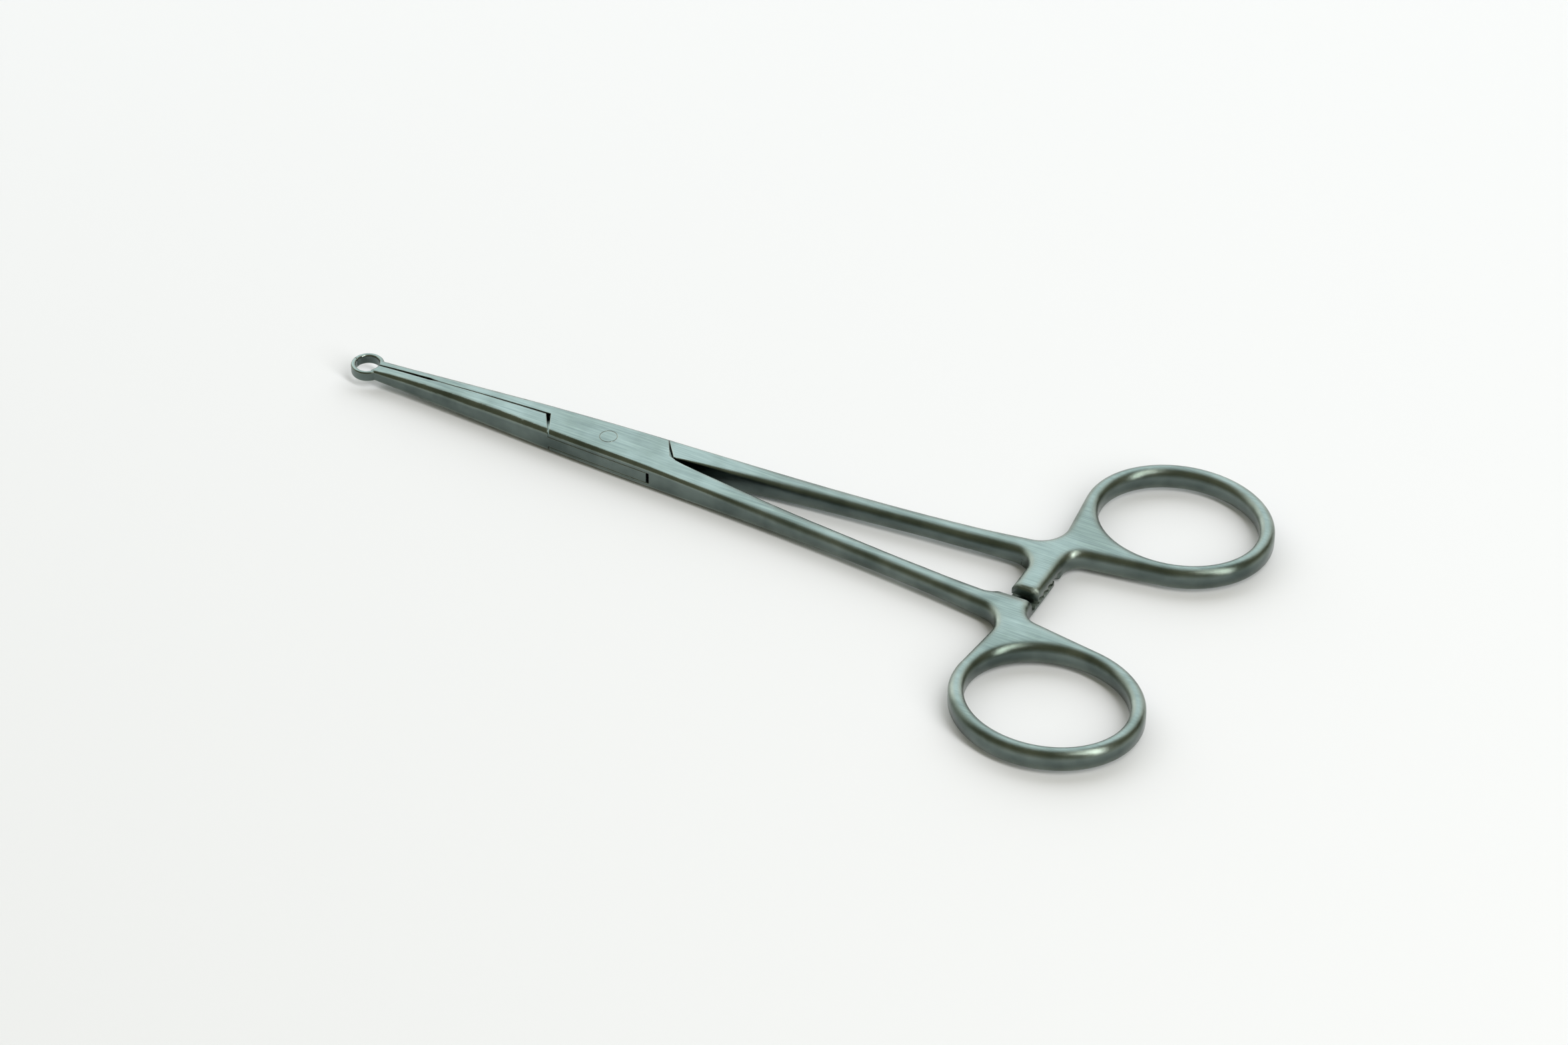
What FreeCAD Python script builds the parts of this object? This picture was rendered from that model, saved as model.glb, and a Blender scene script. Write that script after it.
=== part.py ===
import FreeCAD, Part
import math
import os

# Ring forceps of the no-scalpel vasectomy pattern, closed and lying flat, in millimetres.
# The origin is on the resting plane, under the axis of the pivot pin.
# +X runs to the finger rings and +Z is up. The jaws end in a small ring at -X.
# Each limb crosses over at the box lock. The box limb has its jaw on the +Y side and its
# finger ring on the -Y side, and the tongue limb has them the other way round.
# Both limbs are modelled about the mid-plane of the instrument and lifted at the end.

# Jaws and lock are ground as one when closed. Stations give the half width, the half height
# and the rounding of the edges, for the jaws at distances ahead of the lock. The lock has
# straight sides and a flat top.
LOCK_START_X = -11.0
LOCK_END_X = 11.2
LOCK_HALF_HEIGHT = 1.95
LOCK_STATIONS = (
    (LOCK_START_X, 2.97, LOCK_HALF_HEIGHT, 0.92),
    (LOCK_START_X / 2, 3.27, LOCK_HALF_HEIGHT, 0.86),
    (0.0, 3.52, LOCK_HALF_HEIGHT, 0.80),
    (5.5, 3.74, LOCK_HALF_HEIGHT, 0.75),
    (LOCK_END_X, 3.97, 1.87, 0.70),
)
JAW_STATIONS = (
    (28.6, 1.52, 0.86, 0.42),
    (27.4, 1.55, 0.97, 0.50),
    (25.0, 1.60, 1.15, 0.62),
    (20.0, 1.80, 1.45, 0.80),
    (14.0, 2.13, 1.70, 0.95),
    (7.0, 2.54, 1.88, 1.00),
    (0.0, *LOCK_STATIONS[0][1:]),
)
# Each shank has an inner side too. Stations at distances behind the lock give the outer
# side, the inner side, the half height, and the rounding of the outer and inner edges.
SHANK_STATIONS = (
    (0.0, LOCK_STATIONS[-1][1], 0.22, LOCK_STATIONS[-1][2], LOCK_STATIONS[-1][3], 0.10),
    (3.8, 4.16, 0.78, 1.80, 0.67, 0.16),
    (9.8, 4.47, 1.42, 1.69, 0.65, 0.26),
    (17.8, 4.93, 2.26, 1.54, 0.64, 0.40),
    (25.8, 5.45, 2.93, 1.45, 0.66, 0.54),
    (33.8, 6.08, 3.58, 1.41, 0.74, 0.66),
    (39.8, 6.65, 4.04, 1.43, 0.86, 0.82),
    (45.8, 7.28, 4.46, 1.50, 1.00, 1.00),
)

# Ring of the jaws, half on each limb
TIP_RING_FROM_JAW = 1.35
TIP_RING_BORE_R = 1.85
TIP_RING_WALL = 0.66
TIP_RING_HEIGHT = 1.62
TIP_RING_ROUND = 0.26

# The jaws touch behind the front relief. Their parting line is a little off centre, more so
# at the lock. The reliefs are placed by their distances ahead of the lock.
JAW_GAP = 0.05
PARTING_TIP_Y = 0.20
PARTING_LOCK_Y = 0.60
FRONT_RELIEF_WIDE_AHEAD = 19.4
FRONT_RELIEF_END_AHEAD = 17.6
FRONT_RELIEF_WIDTH = 0.42
FRONT_RELIEF_NECK_WIDTH = 0.16
REAR_RELIEF_START_AHEAD = 15.6
REAR_RELIEF_WIDTH = 0.30

# Box lock: the tongue of one limb turns in the slot of the other
TONGUE_THICKNESS = 1.74
SLOT_CLEARANCE = 0.08
TONGUE_END_R = 9.05
SLOT_END_CLEARANCE = 0.50
BOX_EDGE_INNER_X = 10.1
BOX_EDGE_OUTER_X = 8.3
BOX_EDGE_OUTER_Y = 3.2
SHOULDER_INNER_GAP = 0.62
SHOULDER_OUTER_GAP = 0.12

# Pivot pin, riveted and ground flush with the box
PIN_D = 2.6
PIN_RUNNING_CLEARANCE = 0.04

# Finger rings and their bows, placed from the end of the shank
FINGER_RING_FROM_SHANK = 24.7
FINGER_RING_Y = 21.95
FINGER_HOLE_LENGTH = 23.9
FINGER_HOLE_WIDTH = 19.8
FINGER_RING_WALL = 2.26
FINGER_RING_HEIGHT = 3.5
FINGER_RING_ROUND = SHANK_STATIONS[-1][4]
BOW_RISE_LENGTH = 12.5
BOW_SHOULDER_FROM_SHANK = 11.9
BOW_SHOULDER_RISE = 1.47
BOW_SHOULDER_R = 4.2
BOW_INNER_Y = 7.95
BOW_INNER_R = 2.8
SHANK_CROTCH_RISE = 0.74
SHANK_CROTCH_R = 3.2

# Ratchet: one arm from each shank, one above the other, with teeth between them
RATCHET_FROM_SHANK = 12.0
RATCHET_WIDTH = 4.2
RATCHET_REACH = 2.65
RATCHET_STEP_Y = 4.7
RATCHET_STEP_SLOPE = 0.5
TOOTH_COUNT = 5
TOOTH_PITCH = 1.5
TOOTH_HEIGHT = 0.46
TOOTH_CREST = 0.22
TOOTH_STEEP_RUN = 0.12
TOOTH_TIP_CLEARANCE = 0.10

TIP_RING_OUTER_R = TIP_RING_BORE_R + TIP_RING_WALL
TONGUE_HALF = TONGUE_THICKNESS / 2
SLOT_HALF = TONGUE_HALF + SLOT_CLEARANCE
SLOT_END_R = TONGUE_END_R + SLOT_END_CLEARANCE
JAW_TIP_X = LOCK_START_X - JAW_STATIONS[0][0]
TIP_RING_X = JAW_TIP_X - TIP_RING_FROM_JAW
FRONT_RELIEF_WIDE_X = LOCK_START_X - FRONT_RELIEF_WIDE_AHEAD
FRONT_RELIEF_END_X = LOCK_START_X - FRONT_RELIEF_END_AHEAD
REAR_RELIEF_START_X = LOCK_START_X - REAR_RELIEF_START_AHEAD
SHANK_END_X = LOCK_END_X + SHANK_STATIONS[-1][0]
SHANK_END_OUTER_Y = SHANK_STATIONS[-1][1]
SHANK_END_INNER_Y = SHANK_STATIONS[-1][2]
SHANK_END_HALF_HEIGHT = SHANK_STATIONS[-1][3]
LAST_SPAN = SHANK_STATIONS[-1][0] - SHANK_STATIONS[-2][0]
SHANK_END_RISE = (SHANK_END_HALF_HEIGHT - SHANK_STATIONS[-2][3]) / LAST_SPAN
SHANK_CROTCH_Y = SHANK_END_INNER_Y + SHANK_CROTCH_RISE
BOW_SHOULDER_X = SHANK_END_X + BOW_SHOULDER_FROM_SHANK
BOW_SHOULDER_Y = SHANK_END_OUTER_Y + BOW_SHOULDER_RISE
FULL_HEIGHT_X = SHANK_END_X + BOW_RISE_LENGTH
FINGER_RING_X = SHANK_END_X + FINGER_RING_FROM_SHANK
RATCHET_X = SHANK_END_X + RATCHET_FROM_SHANK
LOCK_INNER_Y = SHANK_STATIONS[0][2]
FINGER_RING_HALF = FINGER_RING_HEIGHT / 2
FINGER_RING_LENGTH = FINGER_HOLE_LENGTH + 2 * FINGER_RING_WALL
FINGER_RING_WIDTH = FINGER_HOLE_WIDTH + 2 * FINGER_RING_WALL
BOX_LIMB_FACE_Y = PARTING_LOCK_Y + REAR_RELIEF_WIDTH / 2
TONGUE_LIMB_FACE_Y = PARTING_LOCK_Y - REAR_RELIEF_WIDTH / 2
BOX_JAW_FACE_Y = PARTING_TIP_Y + JAW_GAP / 2
TONGUE_JAW_FACE_Y = PARTING_TIP_Y - JAW_GAP / 2

# Cutting tools pass this far out of the metal
PAST = 2.0
FAR_Y = SHANK_STATIONS[0][1] + PAST
FAR_X = TIP_RING_X - TIP_RING_OUTER_R - PAST
FULL_HALF = max(LOCK_HALF_HEIGHT, FINGER_RING_HALF) + PAST

# Places this near to each other count as one, and so do directions
SAME_PLACE = 0.01
SAME_DIRECTION = 0.9

QUARTER_TURN = 90

ORIGIN = FreeCAD.Vector(0, 0, 0)
LONG_AXIS = FreeCAD.Vector(1, 0, 0)


def section(x, inner, outer, half_height, inner_round, outer_round):
    """A rounded oblong across the limb at x, from its inner to its outer side. Its corners go
    round from the upper outer one."""
    corners = (
        (outer - outer_round, half_height - outer_round, outer_round),
        (outer - outer_round, outer_round - half_height, outer_round),
        (inner + inner_round, inner_round - half_height, inner_round),
        (inner + inner_round, half_height - inner_round, inner_round),
    )
    arcs = []
    for index, (y, z, radius) in enumerate(corners):
        places = []
        for way in (0, 0.5, 1):
            angle = math.radians(QUARTER_TURN * (1 - index - way))
            places.append((x, y + radius * math.cos(angle), z + radius * math.sin(angle)))
        arcs.append([FreeCAD.Vector(*place) for place in places])
    edges = []
    for index, arc in enumerate(arcs):
        edges.append(Part.makeLine(arcs[index - 1][2], arc[0]))
        edges.append(Part.Arc(*arc).toShape())
    return Part.Wire(edges)


def plate(outline, half_height):
    """A flat plate of a plan outline with straight sides."""
    corners = [FreeCAD.Vector(x, y, -half_height) for x, y in outline]
    face = Part.Face(Part.makePolygon(corners + corners[:1]))
    return face.extrude(FreeCAD.Vector(0, 0, 2 * half_height))


def block(x_from, y_from, x_to, y_to, half_height):
    """A flat plate between two corners."""
    corners = ((x_from, y_from), (x_to, y_from), (x_to, y_to), (x_from, y_to))
    return plate(corners, half_height)


def disc(x, radius, half_height):
    """A round plate centred on the long axis."""
    return Part.makeCylinder(radius, 2 * half_height, FreeCAD.Vector(x, 0, -half_height))


def oval(length, width, half_height):
    """An elliptic plate at the place of the +Y finger ring."""
    centre = FreeCAD.Vector(FINGER_RING_X, FINGER_RING_Y, -half_height)
    rim = Part.Ellipse(centre, length / 2, width / 2).toShape()
    return Part.Face(Part.Wire(rim)).extrude(FreeCAD.Vector(0, 0, 2 * half_height))


def bar(outline, x_from, x_to):
    """A bar along X whose section is an outline in Y and Z."""
    corners = [FreeCAD.Vector(x_from, y, z) for y, z in outline]
    face = Part.Face(Part.makePolygon(corners + corners[:1]))
    return face.extrude(FreeCAD.Vector(x_to - x_from, 0, 0))


def other_side(shape):
    """The same form turned half a turn about the long axis."""
    turned = shape.copy()
    turned.rotate(ORIGIN, LONG_AXIS, 2 * QUARTER_TURN)
    return turned


def tip_ring():
    """The ring at the tip, before it is parted."""
    bore = disc(TIP_RING_X, TIP_RING_BORE_R, FULL_HALF)
    ring = disc(TIP_RING_X, TIP_RING_OUTER_R, TIP_RING_HEIGHT / 2).cut(bore)
    rims = [edge for edge in ring.Edges if len(edge.Vertexes) == 1]
    return ring.makeFillet(TIP_RING_ROUND, rims)


def front_relief():
    """The slit behind the ring, between the two jaws."""
    neck = FRONT_RELIEF_NECK_WIDTH / 2
    wide = FRONT_RELIEF_WIDTH / 2
    outline = (
        (TIP_RING_X, PARTING_TIP_Y - neck),
        (FRONT_RELIEF_WIDE_X, PARTING_TIP_Y - wide),
        (FRONT_RELIEF_END_X, PARTING_TIP_Y),
        (FRONT_RELIEF_WIDE_X, PARTING_TIP_Y + wide),
        (TIP_RING_X, PARTING_TIP_Y + neck),
    )
    return plate(outline, FULL_HALF)


def front_blank():
    """The jaws and the lock of the closed instrument, in one piece."""
    jaw_wires = [section(LOCK_START_X - ahead, -w, w, h, r, r) for ahead, w, h, r in JAW_STATIONS]
    jaws = Part.makeLoft(jaw_wires, True)
    lock = Part.makeLoft([section(x, -w, w, h, r, r) for x, w, h, r in LOCK_STATIONS], True, True)
    jaws = jaws.cut(disc(TIP_RING_X, TIP_RING_BORE_R, FULL_HALF)).fuse(tip_ring())
    return jaws.cut(front_relief()).fuse(lock)


def shank(end_wire):
    """The shank on the +Y side, from the lock to where the bow starts."""
    wires = []
    for behind, outer, inner, half_height, outer_round, inner_round in SHANK_STATIONS[:-1]:
        wires.append(section(LOCK_END_X + behind, inner, outer, half_height, inner_round, outer_round))
    return Part.makeLoft(wires + [end_wire], True)


def tangent_place(x, y, side):
    """Where a line from a place outside the finger ring touches its outline."""
    half_length = FINGER_RING_LENGTH / 2
    half_width = FINGER_RING_WIDTH / 2
    across = (x - FINGER_RING_X) / half_length
    up = (y - FINGER_RING_Y) / half_width
    turn = math.acos(1 / math.hypot(across, up))
    angle = math.atan2(up, across) + side * turn
    return (FINGER_RING_X + half_length * math.cos(angle), FINGER_RING_Y + half_width * math.sin(angle))


def bow_height():
    """The side view of the bow: it thickens from the shank to the finger ring."""
    end_x = FINGER_RING_X + FINGER_RING_LENGTH
    low = SHANK_END_HALF_HEIGHT
    high = FINGER_RING_HALF
    middle = (SHANK_END_X + FULL_HEIGHT_X) / 2
    carried_on = low + SHANK_END_RISE * (middle - SHANK_END_X)
    poles = ((SHANK_END_X, low), (middle, carried_on), (middle, high), (FULL_HEIGHT_X, high))
    edges = []
    for side in (1, -1):
        curve = Part.BezierCurve()
        curve.setPoles([FreeCAD.Vector(x, 0, side * z) for x, z in poles])
        edges.append(curve.toShape())
    full = [FreeCAD.Vector(x, 0, z) for x, z in (
        (FULL_HEIGHT_X, high), (end_x, high), (end_x, -high), (FULL_HEIGHT_X, -high))]
    edges += [Part.makeLine(full[i], full[i + 1]) for i in range(3)]
    edges.append(Part.makeLine(FreeCAD.Vector(SHANK_END_X, 0, -low), FreeCAD.Vector(SHANK_END_X, 0, low)))
    slab = Part.Face(Part.Wire(Part.__sortEdges__(edges)))
    slab.translate(FreeCAD.Vector(0, FINGER_RING_Y - FINGER_RING_LENGTH, 0))
    return slab.extrude(FreeCAD.Vector(0, 2 * FINGER_RING_LENGTH, 0))


def upright_edge(shape, place):
    """The upright edge of a plate that stands at a place."""
    post = Part.Vertex(*place, 0)
    return min(shape.Edges, key=lambda edge: edge.distToShape(post)[0])


def is_level(face):
    u_from, u_to, v_from, v_to = face.ParameterRange
    return abs(face.normalAt((u_from + u_to) / 2, (v_from + v_to) / 2).z) > SAME_DIRECTION


def outline_edges(shape, is_left_out):
    """The edges between the level faces and the walls, save those of the left out walls."""
    chosen = []
    for edge in shape.Edges:
        faces = shape.ancestorsOfType(edge, Part.Face)
        walls = [face for face in faces if not is_level(face)]
        if len(faces) == 2 and len(walls) == 1 and not is_left_out(walls[0].CenterOfMass):
            chosen.append(edge)
    return chosen


def bow():
    """Finger ring, web and ratchet arm on the +Y side, rounded all round."""
    arm_left = RATCHET_X - RATCHET_WIDTH / 2
    arm_right = RATCHET_X + RATCHET_WIDTH / 2
    arm_end = -RATCHET_REACH - PAST
    web = (
        (SHANK_END_X, SHANK_END_INNER_Y),
        (arm_left, SHANK_CROTCH_Y),
        (arm_left, arm_end),
        (arm_right, arm_end),
        (arm_right, BOW_INNER_Y),
        tangent_place(arm_right, BOW_INNER_Y, 1),
        (FINGER_RING_X, FINGER_RING_Y),
        tangent_place(BOW_SHOULDER_X, BOW_SHOULDER_Y, -1),
        (BOW_SHOULDER_X, BOW_SHOULDER_Y),
        (SHANK_END_X, SHANK_END_OUTER_Y),
    )
    ring = oval(FINGER_RING_LENGTH, FINGER_RING_WIDTH, FULL_HALF)
    blank = ring.fuse(plate(web, FULL_HALF)).removeSplitter()
    corners = (
        (BOW_SHOULDER_R, (BOW_SHOULDER_X, BOW_SHOULDER_Y)),
        (BOW_INNER_R, (arm_right, BOW_INNER_Y)),
        (SHANK_CROTCH_R, (arm_left, SHANK_CROTCH_Y)),
    )
    for radius, place in corners:
        blank = blank.makeFillet(radius, [upright_edge(blank, place)])
    blank = blank.cut(oval(FINGER_HOLE_LENGTH, FINGER_HOLE_WIDTH, FULL_HALF + PAST))
    blank = blank.common(bow_height())
    shank_wall = SHANK_END_X + SAME_PLACE
    arm_wall = arm_end + SAME_PLACE
    rims = outline_edges(blank, lambda at: at.x < shank_wall or at.y < arm_wall)
    return blank.makeFillet(FINGER_RING_ROUND, rims)


def ratchet_cutter():
    """What is milled away under the upper ratchet arm, up to its teeth."""
    tip = TOOTH_TIP_CLEARANCE / 2
    root = tip + TOOTH_HEIGHT
    first = -RATCHET_REACH
    slope_run = TOOTH_PITCH - 2 * TOOTH_CREST - TOOTH_STEEP_RUN
    outline = [(first - 2 * PAST, -FULL_HALF), (first - 2 * PAST, tip), (first, tip)]
    for index in range(TOOTH_COUNT):
        start = first + index * TOOTH_PITCH
        outline.append((start + TOOTH_CREST, tip))
        outline.append((start + TOOTH_CREST + TOOTH_STEEP_RUN, root))
        outline.append((start + 2 * TOOTH_CREST + TOOTH_STEEP_RUN, root))
        outline.append((start + 2 * TOOTH_CREST + TOOTH_STEEP_RUN + slope_run, tip))
    outline.append((RATCHET_STEP_Y, tip))
    outline.append((RATCHET_STEP_Y + RATCHET_STEP_SLOPE, -FULL_HALF))
    return bar(outline, RATCHET_X - RATCHET_WIDTH, RATCHET_X + RATCHET_WIDTH)


def handle():
    """Shank, ratchet arm and finger ring of the tongue limb, on the +Y side."""
    left = RATCHET_X - RATCHET_WIDTH
    right = RATCHET_X + RATCHET_WIDTH
    past_reach = block(left, -RATCHET_REACH, right, -RATCHET_REACH - 2 * PAST, FULL_HALF)
    ring_end = bow()
    joint = min(ring_end.Faces, key=lambda face: face.CenterOfMass.x)
    return shank(joint.OuterWire).fuse(ring_end.cut(ratchet_cutter()).cut(past_reach))


def lock_edge(end, inner_x, inner_y, outer_x):
    """An edge across the lock, at its jaw end (-1) or handle end (1): where it starts and a
    place on it past the side."""
    stretch = (end * FAR_Y - inner_y) / (end * BOX_EDGE_OUTER_Y - inner_y)
    far_x = inner_x + stretch * (outer_x - inner_x)
    return (end * inner_x, inner_y), (end * far_x, end * FAR_Y)


def box_limb():
    """The limb with the slotted box."""
    outline = (
        (FAR_X, BOX_JAW_FACE_Y),
        (REAR_RELIEF_START_X, BOX_JAW_FACE_Y),
        *lock_edge(-1, BOX_EDGE_INNER_X, BOX_LIMB_FACE_Y, BOX_EDGE_OUTER_X),
        (LOCK_END_X + PAST, -FAR_Y),
        (LOCK_END_X + PAST, -LOCK_INNER_Y),
        (LOCK_END_X, -LOCK_INNER_Y),
        *lock_edge(1, BOX_EDGE_INNER_X, LOCK_INNER_Y, BOX_EDGE_OUTER_X),
        (FAR_X, FAR_Y),
    )
    slot = disc(0, SLOT_END_R, SLOT_HALF)
    slot = slot.fuse(block(-BOX_EDGE_INNER_X, -FAR_Y, 0, BOX_LIMB_FACE_Y, SLOT_HALF))
    slot = slot.fuse(block(0, -LOCK_INNER_Y, LOCK_END_X + PAST, FAR_Y, SLOT_HALF))
    front = front_blank().common(plate(outline, FULL_HALF)).cut(slot)
    return front.fuse(other_side(handle())).cut(disc(0, PIN_D / 2, FULL_HALF))


def tongue_limb():
    """The limb with the tongue that turns in the slot."""
    inner_x = BOX_EDGE_INNER_X + SHOULDER_INNER_GAP
    outer_x = BOX_EDGE_OUTER_X + SHOULDER_OUTER_GAP
    jaw = (
        (FAR_X, TONGUE_JAW_FACE_Y),
        (REAR_RELIEF_START_X, TONGUE_JAW_FACE_Y),
        *lock_edge(-1, inner_x, TONGUE_LIMB_FACE_Y, outer_x),
        (FAR_X, -FAR_Y),
    )
    root = (
        *lock_edge(1, inner_x, LOCK_INNER_Y, outer_x),
        (LOCK_END_X + PAST, FAR_Y),
        (LOCK_END_X + PAST, LOCK_INNER_Y),
    )
    tongue = disc(0, TONGUE_END_R, TONGUE_HALF)
    tongue = tongue.fuse(block(-inner_x, -FAR_Y, 0, TONGUE_LIMB_FACE_Y, TONGUE_HALF))
    tongue = tongue.fuse(block(0, LOCK_INNER_Y, inner_x, FAR_Y, TONGUE_HALF))
    kept = tongue.fuse(plate(jaw, FULL_HALF)).fuse(plate(root, FULL_HALF))
    limb = front_blank().common(kept).fuse(handle())
    return limb.cut(disc(0, PIN_D / 2 + PIN_RUNNING_CLEARANCE, FULL_HALF))


def pivot_pin():
    """The pin of the lock, as long as the box is thick."""
    return disc(0, PIN_D / 2, LOCK_HALF_HEIGHT)


def main():
    os.makedirs("parts", exist_ok=True)
    pieces = {"box_limb": box_limb(), "tongue_limb": tongue_limb(), "pivot_pin": pivot_pin()}
    for name, shape in pieces.items():
        shape = shape.removeSplitter()
        shape.translate(FreeCAD.Vector(0, 0, LOCK_HALF_HEIGHT))
        shape.exportStep("parts/" + name + ".step")
        print(name, len(shape.Solids), "solids", shape.isValid(), round(shape.Volume, 3))


main()
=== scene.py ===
import math

import bpy
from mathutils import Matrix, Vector

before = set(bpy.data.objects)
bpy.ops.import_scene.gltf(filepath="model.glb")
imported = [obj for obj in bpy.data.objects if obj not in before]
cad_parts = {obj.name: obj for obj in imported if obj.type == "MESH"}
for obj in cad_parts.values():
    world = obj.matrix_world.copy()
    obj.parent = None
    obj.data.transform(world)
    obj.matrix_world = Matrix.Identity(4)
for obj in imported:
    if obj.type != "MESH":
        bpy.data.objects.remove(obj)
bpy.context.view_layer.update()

# The photograph's frame and the camera fitted to it, in millimetres and pixels
PHOTO_WIDTH = 2353
SENSOR_MM = 36.0
FOCAL_PX = 9151.8
LOOK_AT_MM = (30.847, -3.598, 1.95)
CAMERA_WAY = (0.3567, -0.6840, 0.6364)
CAMERA_DISTANCE_MM = 880.64

# How many marks the finish has to a millimetre. The belt's scratches run along the limbs. They and the
# grain are drawn coarser than they are, so that they show.
SCRATCHES_ALONG = 0.16
SCRATCHES_ACROSS = 5.2
CLOUDS = 0.17
GRAINS = 3.2

# How round an edge looks: hardly at the lock, fully at the handles, where hands and polishing wore it. The same
# width sets how far the edges' painted shade reaches. Between the two values of X it grows from the first width to the
# second, all in millimetres.
WEAR_AND_SHADE_FROM_X, WEAR_AND_SHADE_TO_X = 12.0, 30.0
LOCK_EDGE_MM, HANDLE_EDGE_MM = 0.25, 2.1

# The lock and the jaws are a little domed. The dome's fall in bump units goes with the square of the
# distance from the middle in millimetres, and fades out behind the lock.
DOME = 2.5
DOMED_TO_X, FLAT_FROM_X = 9.0, 14.0
BUMP_MM = 0.03

# How upright the surface's normal is where it counts as fully edge, fully flat, edge again and fully side
EDGE_UPRIGHT, FLAT_UPRIGHT = 0.92, 0.999
SHOULDER_UPRIGHT, SIDE_UPRIGHT = 0.45, 0.10
EDGE_ROUGHNESS, FLAT_ROUGHNESS = 0.21, 0.32

# The darker and the lighter tone of each of these, between which the clouds go: the shaded and the lit streaks of the
# flats, which are painted shade and painted sheen, then the edges and the sides, which are painted shade, darker than
# the flats
PAINTED_SHADE_STREAKS = ("68797A", "7C8F8E")
PAINTED_LIT_STREAKS = ("8EA29B", "9DB1AE")
PAINTED_EDGE_SHADE = ("5F6A62", "858F86")
PAINTED_SIDE_SHADE = ("505B58", "6A7672")

FLOOR_SIZE = 6.0
FLOOR_DROP_MM = 0.2
LAMP_DISTANCE = 0.9


def metres(*millimetres):
    return Vector(millimetres) / 1000


def linear(hex_colour):
    """An sRGB hex colour as linear red, green, blue and alpha."""
    channels = [int(hex_colour[i:i + 2], 16) / 255 for i in (0, 2, 4)]
    curve = [c / 12.92 if c <= 0.04045 else ((c + 0.055) / 1.055) ** 2.4 for c in channels]
    return (*curve, 1.0)


def new_material(name):
    material = bpy.data.materials.new(name)
    material.use_nodes = True
    tree = material.node_tree
    tree.nodes.clear()
    return material, tree


def add_node(tree, kind, settings=None, **inputs):
    """Adds a node, sets its properties, and sets or links its inputs by name, or by number as in i0."""
    node = tree.nodes.new(kind)
    for key, value in (settings or {}).items():
        setattr(node, key, value)
    for key, value in inputs.items():
        numbered = key[0] == "i" and key[1:].isdigit()
        socket = node.inputs[int(key[1:])] if numbered else node.inputs[key.replace("_", " ")]
        if isinstance(value, bpy.types.NodeSocket):
            tree.links.new(value, socket)
        else:
            socket.default_value = value
    return node


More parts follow.
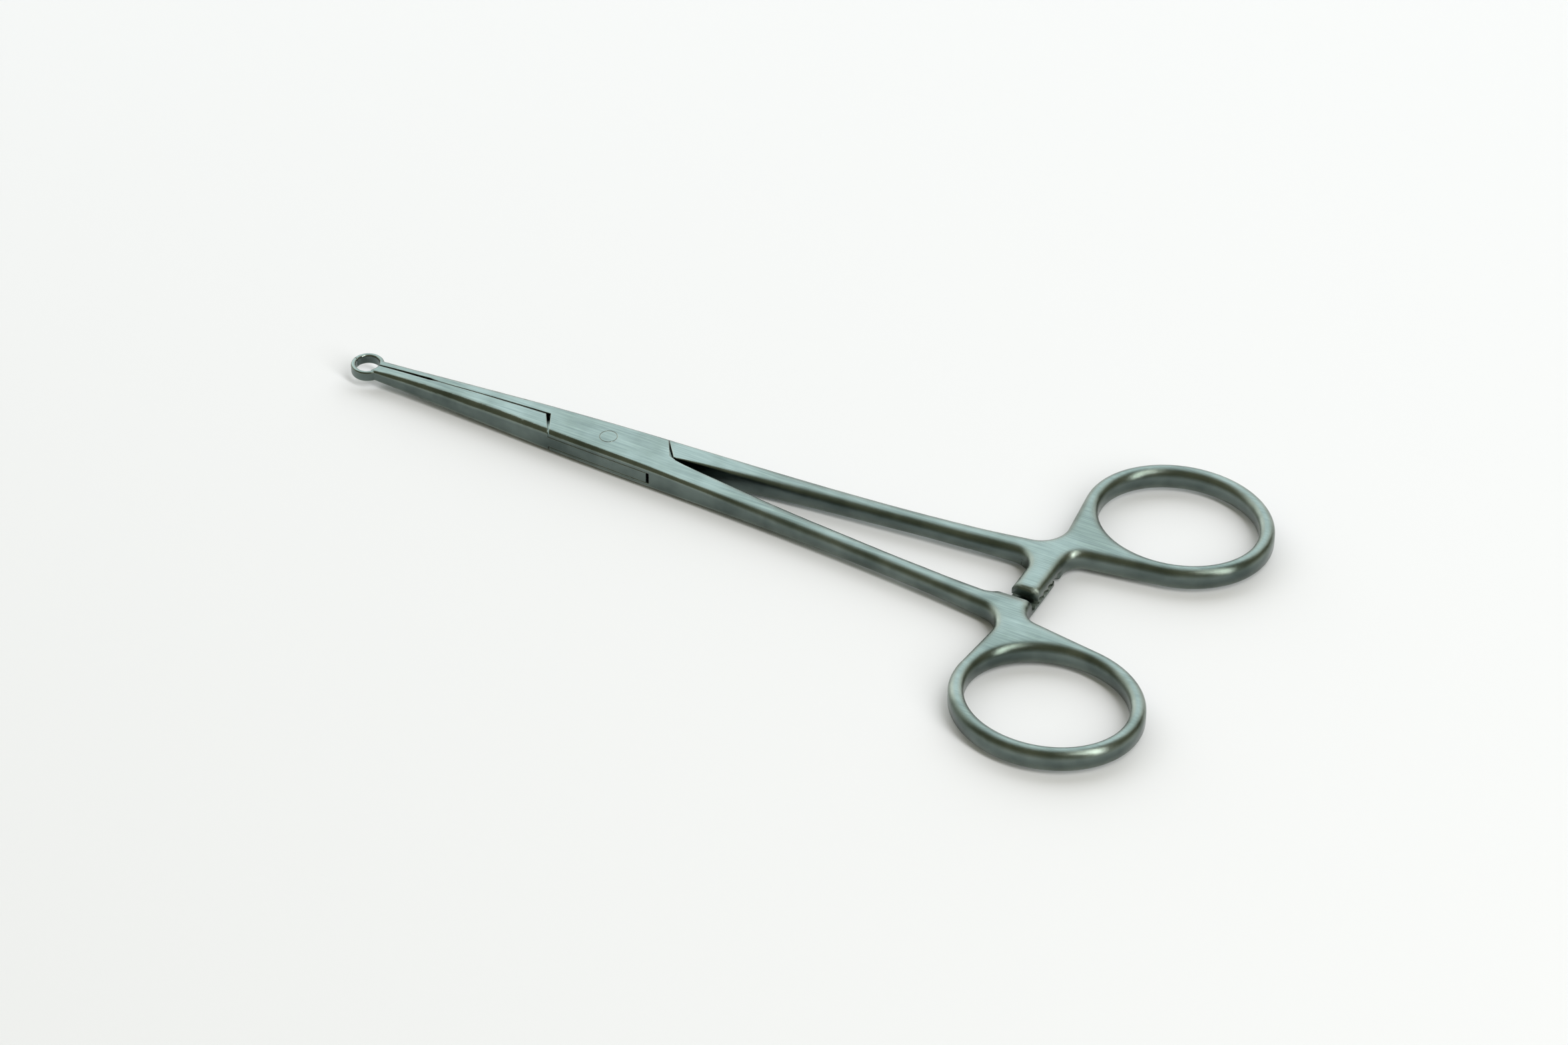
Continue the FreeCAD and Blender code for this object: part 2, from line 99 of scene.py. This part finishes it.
def satin_steel():
    """Martensitic stainless steel, drop forged and given a satin finish on a belt. The flats are light grey-green with
    fine streaks along the limbs, painted as a lit and a shaded tone. The edges are smoother and mirror the dim room,
    and the sides are dull grey; both are painted darker than the flats as shade. The tones are cloudy, and edges look
    soft, without a hard line."""
    material, tree = new_material("satin_stainless_steel")
    place = add_node(tree, "ShaderNodeTexCoord").outputs["Object"]
    spot = add_node(tree, "ShaderNodeSeparateXYZ", i0=place)
    along, across = spot.outputs["X"], spot.outputs["Y"]

    # The scratches, clouds and grain
    belt_scale = (SCRATCHES_ALONG * 1000, SCRATCHES_ACROSS * 1000, SCRATCHES_ACROSS * 1000)
    long_way = add_node(tree, "ShaderNodeMapping", i0=place, Scale=belt_scale)
    streaks = add_node(tree, "ShaderNodeTexNoise", Vector=long_way.outputs[0], Scale=1.0, Detail=5.0)
    clouds = add_node(tree, "ShaderNodeTexNoise", Vector=place, Scale=CLOUDS * 1000, Detail=3.0)
    grain = add_node(tree, "ShaderNodeTexNoise", Vector=place, Scale=GRAINS * 1000, Detail=2.0)
    contrast = add_node(tree, "ShaderNodeMapRange", Value=streaks.outputs["Fac"], From_Min=0.22, From_Max=0.78)
    patches = add_node(tree, "ShaderNodeMapRange", Value=clouds.outputs["Fac"], From_Min=0.35, From_Max=0.65)

    # Flats, edges and sides, told apart by the softened surface's tilt, which sets their roughness and the painted
    # shade of edges and sides
    wear_and_shade_width = add_node(
        tree, "ShaderNodeMapRange", Value=along, From_Min=WEAR_AND_SHADE_FROM_X / 1000, From_Max=WEAR_AND_SHADE_TO_X / 1000,
        To_Min=LOCK_EDGE_MM / 1000, To_Max=HANDLE_EDGE_MM / 1000)
    soft_edge = add_node(tree, "ShaderNodeBevel", {"samples": 8}, Radius=wear_and_shade_width.outputs[0]).outputs[0]
    upward = add_node(tree, "ShaderNodeSeparateXYZ", i0=soft_edge).outputs["Z"]
    upright = add_node(tree, "ShaderNodeMath", {"operation": "ABSOLUTE"}, i0=upward).outputs[0]
    flat = add_node(
        tree, "ShaderNodeMapRange", Value=upright, From_Min=EDGE_UPRIGHT, From_Max=FLAT_UPRIGHT).outputs[0]
    steep = add_node(
        tree, "ShaderNodeMapRange", Value=upright, From_Min=SHOULDER_UPRIGHT, From_Max=SIDE_UPRIGHT).outputs[0]
    rough = add_node(tree, "ShaderNodeMapRange", Value=flat, To_Min=EDGE_ROUGHNESS, To_Max=FLAT_ROUGHNESS)

    # The colour: inputs 6 and 7 of a mix are its two colours, and output 2 is the mixed one
    colour_mix = {"data_type": "RGBA"}
    shade_streaks, lit_streaks, edge_shade, side_shade = [
        add_node(
            tree, "ShaderNodeMix", colour_mix, i0=patches.outputs[0], i6=linear(darker), i7=linear(lighter)).outputs[2]
        for darker, lighter in (PAINTED_SHADE_STREAKS, PAINTED_LIT_STREAKS, PAINTED_EDGE_SHADE, PAINTED_SIDE_SHADE)]
    # The flats' streaks mix a painted shaded and a painted lit tone of the same steel
    top = add_node(tree, "ShaderNodeMix", colour_mix, i0=contrast.outputs[0], i6=shade_streaks, i7=lit_streaks).outputs[2]
    # The edges and the sides are painted shade, darker than the flats by their tilt
    rim = add_node(tree, "ShaderNodeMix", colour_mix, i0=steep, i6=edge_shade, i7=side_shade).outputs[2]
    tone = add_node(tree, "ShaderNodeMix", colour_mix, i0=flat, i6=rim, i7=top).outputs[2]

    # The relief: the dome of the lock and jaws, with the scratches and the grain on it
    square = add_node(tree, "ShaderNodeMath", {"operation": "MULTIPLY"}, i0=across, i1=across)
    doming = add_node(
        tree, "ShaderNodeMapRange", Value=along, From_Min=DOMED_TO_X / 1000, From_Max=FLAT_FROM_X / 1000,
        To_Min=-DOME * 1000 ** 2, To_Max=0.0)
    brush = add_node(
        tree, "ShaderNodeMath", {"operation": "ADD"}, i0=streaks.outputs["Fac"], i1=grain.outputs["Fac"])
    height = add_node(
        tree, "ShaderNodeMath", {"operation": "MULTIPLY_ADD"}, i0=square.outputs[0], i1=doming.outputs[0],
        i2=brush.outputs[0])
    relief = add_node(
        tree, "ShaderNodeBump", Strength=0.2, Distance=BUMP_MM / 1000, Height=height.outputs[0], Normal=soft_edge)

    shader = add_node(
        tree, "ShaderNodeBsdfPrincipled", Metallic=1.0, Base_Color=tone, Roughness=rough.outputs[0],
        Normal=relief.outputs[0])
    add_node(tree, "ShaderNodeOutputMaterial", Surface=shader.outputs[0])
    return material


def dress(nodes, material):
    for node in nodes:
        node.data.materials.clear()
        node.data.materials.append(material)


def add_floor():
    """A plain pale table top, wide enough to be all of the background."""
    bpy.ops.object.select_all(action="DESELECT")
    bpy.ops.mesh.primitive_plane_add(size=FLOOR_SIZE, location=metres(0, 0, -FLOOR_DROP_MM))
    floor = bpy.context.object
    floor.name = "floor"
    material, tree = new_material("pale_floor")
    paint = add_node(tree, "ShaderNodeBsdfDiffuse", Color=linear("F5F6F9"))
    add_node(tree, "ShaderNodeOutputMaterial", Surface=paint.outputs[0])
    floor.data.materials.append(material)


def add_softbox(name, azimuth, elevation, width, height, radiance, colour="FFFFFF"):
    """A flat lamp that faces the instrument, sized in metres. Azimuth runs from the -Y side towards +X,
    in degrees. Its light is given as what a mirror shows of it, where 1 is white."""
    side, up = math.radians(azimuth), math.radians(elevation)
    way = Vector((math.sin(side) * math.cos(up), -math.cos(side) * math.cos(up), math.sin(up)))
    data = bpy.data.lights.new(name, "AREA")
    data.shape = "RECTANGLE"
    data.size = width
    data.size_y = height
    data.energy = radiance * math.pi * width * height
    data.color = linear(colour)[:3]
    lamp = bpy.data.objects.new(name, data)
    lamp.location = way * LAMP_DISTANCE + metres(*LOOK_AT_MM)
    lamp.rotation_euler = (-way).to_track_quat("-Z", "Y").to_euler()
    bpy.context.collection.objects.link(lamp)


def add_world():
    """A dim olive room round the table, which the dark side of the rounded edges shows."""
    world = bpy.data.worlds.new("studio")
    world.use_nodes = True
    tree = world.node_tree
    tree.nodes.clear()
    room = add_node(tree, "ShaderNodeBackground", Color=linear("84826E"), Strength=1.0)
    add_node(tree, "ShaderNodeOutputWorld", Surface=room.outputs[0])
    bpy.context.scene.world = world


def add_camera():
    data = bpy.data.cameras.new("camera")
    data.sensor_width = SENSOR_MM
    data.lens = FOCAL_PX / PHOTO_WIDTH * SENSOR_MM
    data.clip_end = 20.0
    camera = bpy.data.objects.new("camera", data)
    way = Vector(CAMERA_WAY).normalized()
    camera.location = metres(*LOOK_AT_MM) + way * CAMERA_DISTANCE_MM / 1000
    camera.rotation_euler = (-way).to_track_quat("-Z", "Y").to_euler()
    bpy.context.collection.objects.link(camera)
    bpy.context.scene.camera = camera


dress(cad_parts.values(), satin_steel())
add_floor()
add_softbox("back_softbox", azimuth=207.5, elevation=36.0, width=2.0, height=1.3, radiance=1.42, colour="F5F9FF")
add_softbox("left_softbox", azimuth=262.5, elevation=25.0, width=0.9, height=0.75, radiance=0.6)
add_softbox("right_strip", azimuth=72.5, elevation=46.0, width=0.18, height=1.0, radiance=8.5)
add_world()
add_camera()
bpy.context.scene.view_settings.view_transform = "Standard"
